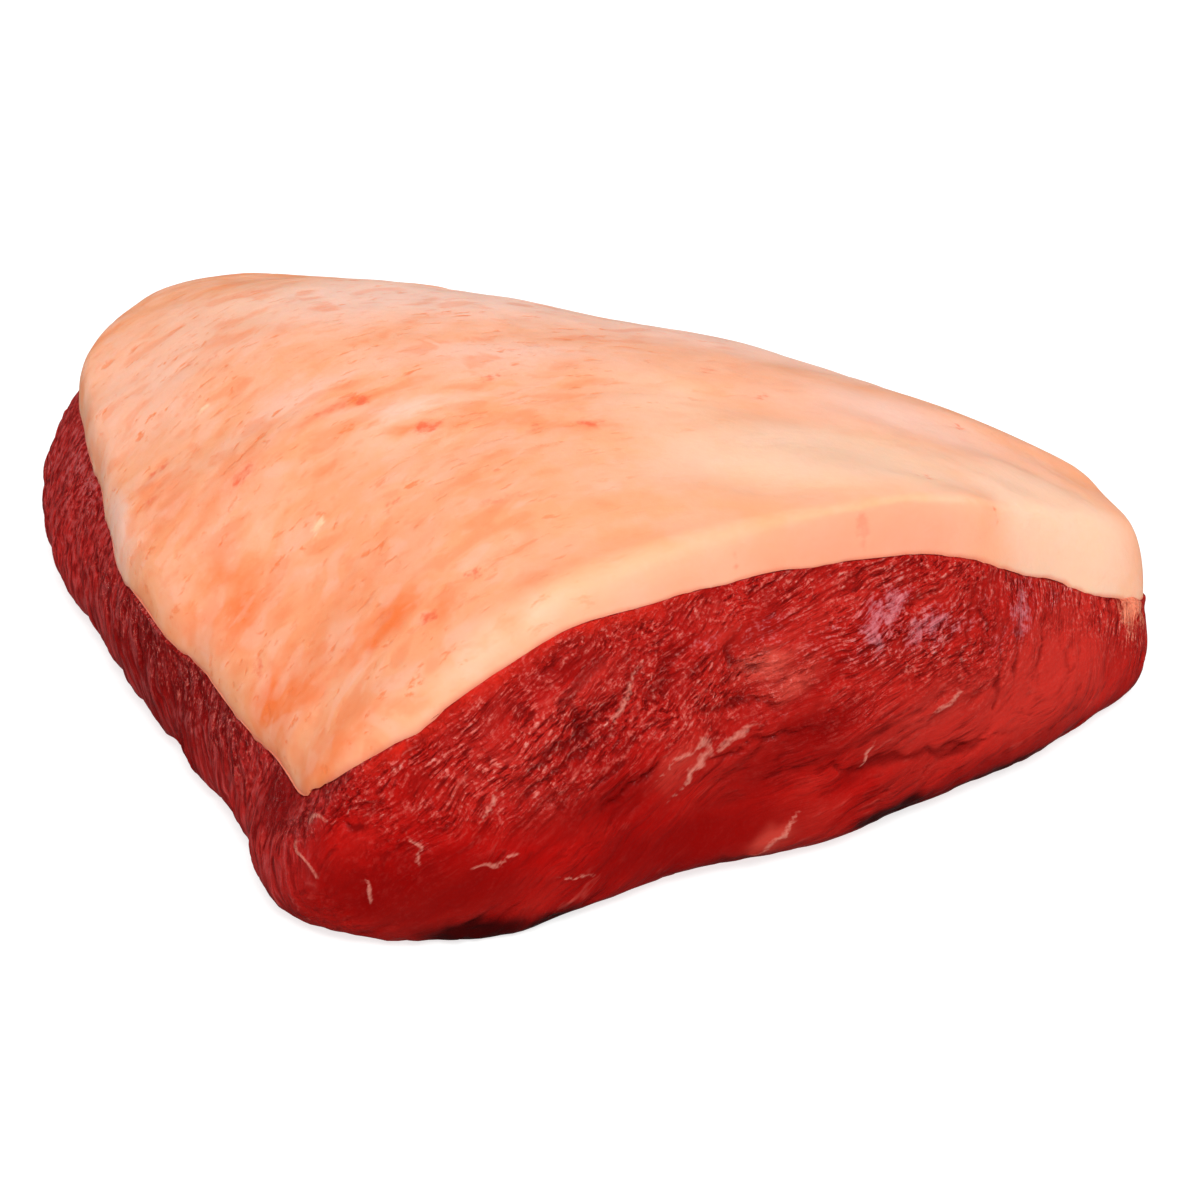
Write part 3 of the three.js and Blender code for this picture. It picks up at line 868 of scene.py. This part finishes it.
meatLook = {
    "deep": (0.205, 0.001, 0.0008, 1),
    "red": (0.40, 0.004, 0.0025, 1),
    "brick": (0.485, 0.025, 0.017, 1),
    "lively": (0.56, 0.014, 0.009, 1),
    "rich": (0.43, 0.002, 0.0015, 1),
    "maroon": (0.40, 0.015, 0.013, 1),
    # painted shade: low on the left side, towards the bottom, in the hollow and between the fibres on the
    # left
    "maroonShade": (0.19, 0.002, 0.002, 1),
    "sheen": (0.54, 0.105, 0.105, 1),
    "flesh": (0.66, 0.075, 0.05, 1),
    # painted highlight on the grain
    "paleHighlight": (0.72, 0.12, 0.09, 1),
    "glint": (0.84, 0.34, 0.28, 1),
    "veins": (0.68, 0.24, 0.18, 1),
    "silver": (0.64, 0.185, 0.215, 1),
    "sinew": (0.92, 0.27, 0.15, 1),
    # painted shade in the creases, folds, scratches and between the fibres
    "darkShade": (0.12, 0.001, 0.001, 1),
    # painted shade under the lip along the base
    "lips": (0.03, 0.0008, 0.0008, 1),
    "bright": (0.70, 0.02, 0.01, 1),
    # streaks along the fibres: length, width and detail
    "fine": (3.9, 0.6, 4.0),
    "coarse": (11, 1.5, 2.0),
    "speckShare": 0.22,
    # clouds: size and detail, then from where to where they go, and their most and least
    "specks": (0.75, 3.0, 0.3, 0.7),
    "busyClouds": (6, 2.5, 0.36, 0.58, 1.0, 0.4),
    "streakyClouds": (8, 2.0, 0.38, 0.6, 1.0, 0.45),
    "brickClouds": (14, 3.0, 0.35, 0.65, 0.3),
    "wispClouds": (9, 3.0, 0.45, 0.7),
    "silverClouds": (4, 2.0, 0.38, 0.58, 1.0, 0.4),
    "seamClouds": (4, 3.0, 0.35, 0.65, 1.0, 0.4),
    "roughness": (3, 3.0, 0.35, 0.65, 0.5, 0.28),
    # kept values: from where to where they go, and their most and least
    "busy": (0.0, 1.0, 1.0, 0.06),
    "busiest": (0.3, 0.85),
    "calmDeep": (0.1, 0.9, 0.8),
    "calmBrick": (0.0, 1.0, 0.44),
    "bundle": (-0.35, 0.3, 1.0, 0.1),
    "left": (0.2, 0.9),
    "litDeep": (0.0, 0.5, 0.4, 0.9),
    "litRich": (0.0, 1.0, 0.5, 1.0),
    "seamGap": (4.0, 0.5),
    "seamSide": (0.55, 0.9, 0.9),
    "livelyShare": 0.65,
    "leftSheenLeast": 0.35,
    # colours laid by kept values: from, to, most
    "ground": [("bundle", 0.05, 0.5, 0.6, "brick"), ("brick", 0.0, 1.0, 0.9, "brick")],
    "zones": [
        ("rich", 0.0, 1.0, 0.75, "rich"),
        ("deep", 0.1, 0.9, 0.85, "deep"),
        ("left", 0.2, 0.9, 1.0, "maroon"),
        # painted shade low on the left side
        ("leftShade", 0.1, 0.8, 0.85, "maroonShade"),
        # painted shade, darker towards the bottom
        ("low", 0.0, 1.0, 0.6, "maroonShade"),
        ("flesh", 0.1, 1.0, 0.8, "flesh"),
    ],
    # painted shade in the creases, folds, scratches and hollow
    "cuts": [("crease", 0.15, 1.0, 0.7, "darkShade"), ("hollow", 0.1, 0.9, 0.8, "maroonShade")],
    "base": [("lips", 0.1, 0.8, 0.95, "lips")],
    # streaks: painted shade between the fibres, painted highlight and glint on the grain, paler fibre
    # streaks that are partly painted highlight, and painted sheen on the left side; from, to, most
    "coarsePits": (0.46, 0.34, 0.65),
    "finePits": (0.51, 0.38, 0.9),
    "lit": (0.63, 0.8),
    "glints": (0.76, 0.9, 0.75),
    "wispsAndHighlights": (0.58, 0.7, 0.45),
    "leftPits": (0.5, 0.38, 0.75),
    "leftStreaks": (0.5, 0.64, 0.85),
    # skins torn by the fibres: their own weight, then from, to, most
    "torn": {
        "silver": (0.5, 0.75, 1.2, 0.75),
        "veins": (0.56, 0.64, 1.2, 0.75),
        "sinew": (0.6, 0.75, 1.25, 0.85),
    },
    "tornEdge": (0.0, 0.12),
    "tornFine": 1.1,
    "tornSpecks": 0.2,
    "veinFine": 0.95,
    "wet": (0.5, 0.75, 0.55),
    "bump": (1.0, 0.9),
    "skin": {
        "Coat Roughness": 0.16,
        "Specular IOR Level": 0.03,
        "Subsurface Weight": 0.1,
        "Subsurface Radius": (1.0, 0.12, 0.08),
        "Subsurface Scale": 1.5 * mm,
    },
}


def meatMaterial():
    material, tree, skin = newMaterial("rawLean")
    look = meatLook
    fine = fibres(tree, *look["fine"])
    coarse = fibres(tree, *look["coarse"])
    specks = mottle(tree, *look["specks"])
    grain = calc(tree, "ADD", fine, times(tree, specks, look["speckShare"]))
    busy = times(tree, stored(tree, "busy", *look["busy"]), mottle(tree, *look["busyClouds"]))
    left = stored(tree, "left", *look["left"])
    calm = stored(tree, "deep", *look["calmDeep"])
    calm = calc(tree, "MAXIMUM", calm, stored(tree, "brick", *look["calmBrick"]))
    streaky = times(tree, calc(tree, "SUBTRACT", 1.0, calm), mottle(tree, *look["streakyClouds"]))

    # broad colours
    colour = blend(tree, stored(tree, "bundle", *look["bundle"]), look["deep"], look["red"])
    colour = tinted(tree, colour, look, look["ground"])
    colour = blend(tree, mottle(tree, *look["brickClouds"]), colour, look["brick"])
    colour = blend(tree, times(tree, busy, look["livelyShare"]), colour, look["lively"])
    colour = tinted(tree, colour, look, look["zones"])

    # streaks: painted shade between the fibres, painted highlights and glints on the grain, paler fibre
    # streaks partly painted highlight, and painted sheen on the left side
    lit = times(tree, stored(tree, "deep", *look["litDeep"]), stored(tree, "rich", *look["litRich"]))
    sheen = calc(tree, "MAXIMUM", stored(tree, "leftSheen"), times(tree, left, look["leftSheenLeast"]))
    streaks = [
        (coarse, "coarsePits", streaky, "darkShade"),
        (fine, "finePits", busy, "darkShade"),
        (grain, "lit", times(tree, lit, busy), "paleHighlight"),
        (grain, "glints", times(tree, busy, stored(tree, "busy", *look["busiest"])), "glint"),
        (coarse, "wispsAndHighlights", times(tree, mottle(tree, *look["wispClouds"]), streaky), "paleHighlight"),
        (coarse, "leftPits", left, "maroonShade"),
        (coarse, "leftStreaks", sheen, "sheen"),
    ]
    for pattern, limits, where, over in streaks:
        share = times(tree, spread(tree, pattern, *look[limits]), where)
        colour = blend(tree, share, colour, look[over])

    # silverskin, veins and sinew, torn by the fibres
    rough = calc(tree, "ADD", times(tree, fine, look["tornFine"]), times(tree, specks, look["tornSpecks"]))
    tears = {"silver": rough, "veins": times(tree, fine, look["veinFine"]), "sinew": rough}
    for name, threads in tears.items():
        weight, low, high, most = look["torn"][name]
        whole = stored(tree, name, most=weight)
        if name == "silver":
            whole = times(tree, whole, mottle(tree, *look["silverClouds"]))
        share = spread(tree, calc(tree, "ADD", whole, threads), low, high, most)
        share = times(tree, share, stored(tree, name, *look["tornEdge"]))
        colour = blend(tree, share, colour, look[name])

    # cuts: painted shade in the creases, folds, scratches and the hollow; the bright seam under the fat at
    # the left; and near black at the lip along the base, as painted shade under the undercut
    colour = tinted(tree, colour, look, look["cuts"])
    seam = times(tree, stored(tree, "gap", *look["seamGap"]), stored(tree, "frontLeft", *look["seamSide"]))
    seam = times(tree, seam, mottle(tree, *look["seamClouds"]))
    colour = blend(tree, seam, colour, look["bright"])
    colour = tinted(tree, colour, look, look["base"])

    height = calc(tree, "ADD", times(tree, grain, busy), times(tree, coarse, streaky))
    normal = bump(tree, height, *look["bump"])
    wet = times(tree, spread(tree, grain, *look["wet"]), busy)
    paint(tree, skin, look["skin"])
    paint(tree, skin, {"Base Color": colour, "Roughness": mottle(tree, *look["roughness"])})
    paint(tree, skin, {"Coat Weight": wet, "Normal": normal, "Coat Normal": normal})
    return material


fatLook = {
    "peach": (0.98, 0.375, 0.18, 1),
    "cream": (0.98, 0.56, 0.37, 1),
    "orange": (0.96, 0.19, 0.04, 1),
    "blush": (0.99, 0.58, 0.46, 1),
    "spot": (0.90, 0.13, 0.045, 1),
    "fleck": (0.97, 0.62, 0.38, 1),
    "cut": (0.98, 0.34, 0.21, 1),
    "edge": (0.93, 0.17, 0.09, 1),
    # streaks: length, width and detail, then the size and reach of their waves
    "marks": (5.5, 3.2, 2.0),
    "markWaves": (9, 4.0),
    "dashes": (6.0, 2.0, 3.0),
    "dashWaves": (6, 2.5),
    # clouds: size and detail, then from where to where they go, and their most and least
    "blushClouds": (11, 3.0, 0.35, 0.65, 0.22),
    "warmClouds": (9, 3.0, 0.35, 0.65, 1.0, 0.45),
    "dashClouds": (13, 3.0, 0.35, 0.65, 1.0, 0.2),
    "spotClouds": (1.6, 3.0, 0.35, 0.65, 0.4),
    "dimples": (2.5, 3.0, 0.2, 0.8, 0.3),
    "roughness": (8, 3.0, 0.35, 0.65, 0.62, 0.45),
    # colours laid by kept values: from, to, most
    "creamed": (0.0, 0.9),
    "warmed": (0.05, 0.9),
    "ground": [("blush", 0.0, 1.0, 0.9, "blush")],
    # the ridges of the relief painted lighter blush as painted highlight, and its hollows deeper orange as
    # painted shade
    "dents": [("dent", 0.1, 0.4, 0.18, "blush"), ("dent", -0.1, -0.45, 0.3, "orange")],
    "flecked": [("flecks", 0.2, 0.9, 0.8, "fleck")],
    "edges": [("cut", 0.0, 1.0, 0.7, "cut"), ("gap", 1.5, 0.2, 0.8, "edge")],
    # streaks: from, to, most
    "warmMarks": (0.56, 0.72, 0.22),
    "paleMarks": (0.42, 0.3, 0.12),
    "dashed": (0.58, 0.7),
    "dashShare": 0.75,
    "dashDepth": 1.2,
    "spotWeight": 0.8,
    "spotted": (0.35, 1.1, 0.85),
    "bump": (0.2, 0.8),
    "skin": {
        "Specular IOR Level": 0.3,
        "Subsurface Weight": 0.35,
        "Subsurface Radius": (1.0, 0.5, 0.3),
        "Subsurface Scale": 3 * mm,
    },
}


def fatMaterial():
    material, tree, skin = newMaterial("rawFat")
    look = fatLook
    marks = streak(tree, wavyPlace(tree, *look["markWaves"]), fat["along"], *look["marks"])
    dashes = streak(tree, wavyPlace(tree, *look["dashWaves"]), fat["along"], *look["dashes"])
    worn = stored(tree, "worn")
    dashes = times(tree, spread(tree, dashes, *look["dashed"]), worn)
    dashes = times(tree, dashes, mottle(tree, *look["dashClouds"]))

    colour = blend(tree, stored(tree, "cream", *look["creamed"]), look["peach"], look["cream"])
    colour = tinted(tree, colour, look, look["ground"])
    colour = blend(tree, mottle(tree, *look["blushClouds"]), colour, look["blush"])
    warm = times(tree, stored(tree, "warm", *look["warmed"]), mottle(tree, *look["warmClouds"]))
    colour = blend(tree, warm, colour, look["orange"])
    # painted highlight on the relief's ridges and painted shade in its hollows
    colour = tinted(tree, colour, look, look["dents"])
    for limits, over in (("warmMarks", "orange"), ("paleMarks", "blush")):
        share = times(tree, spread(tree, marks, *look[limits]), worn)
        colour = blend(tree, share, colour, look[over])
    colour = blend(tree, times(tree, dashes, look["dashShare"]), colour, look["orange"])
    colour = tinted(tree, colour, look, look["flecked"])
    spots = stored(tree, "spots", most=look["spotWeight"])
    spots = calc(tree, "ADD", spots, mottle(tree, *look["spotClouds"]))
    colour = blend(tree, spread(tree, spots, *look["spotted"]), colour, look["spot"])
    colour = tinted(tree, colour, look, look["edges"])

    height = calc(tree, "SUBTRACT", mottle(tree, *look["dimples"]), times(tree, dashes, look["dashDepth"]))
    paint(tree, skin, look["skin"])
    paint(tree, skin, {"Base Color": colour, "Roughness": mottle(tree, *look["roughness"])})
    paint(tree, skin, {"Normal": bump(tree, height, *look["bump"])})
    return material


leanPiece.data.materials.append(meatMaterial())
fatPiece.data.materials.append(fatMaterial())
print("finishes ready")
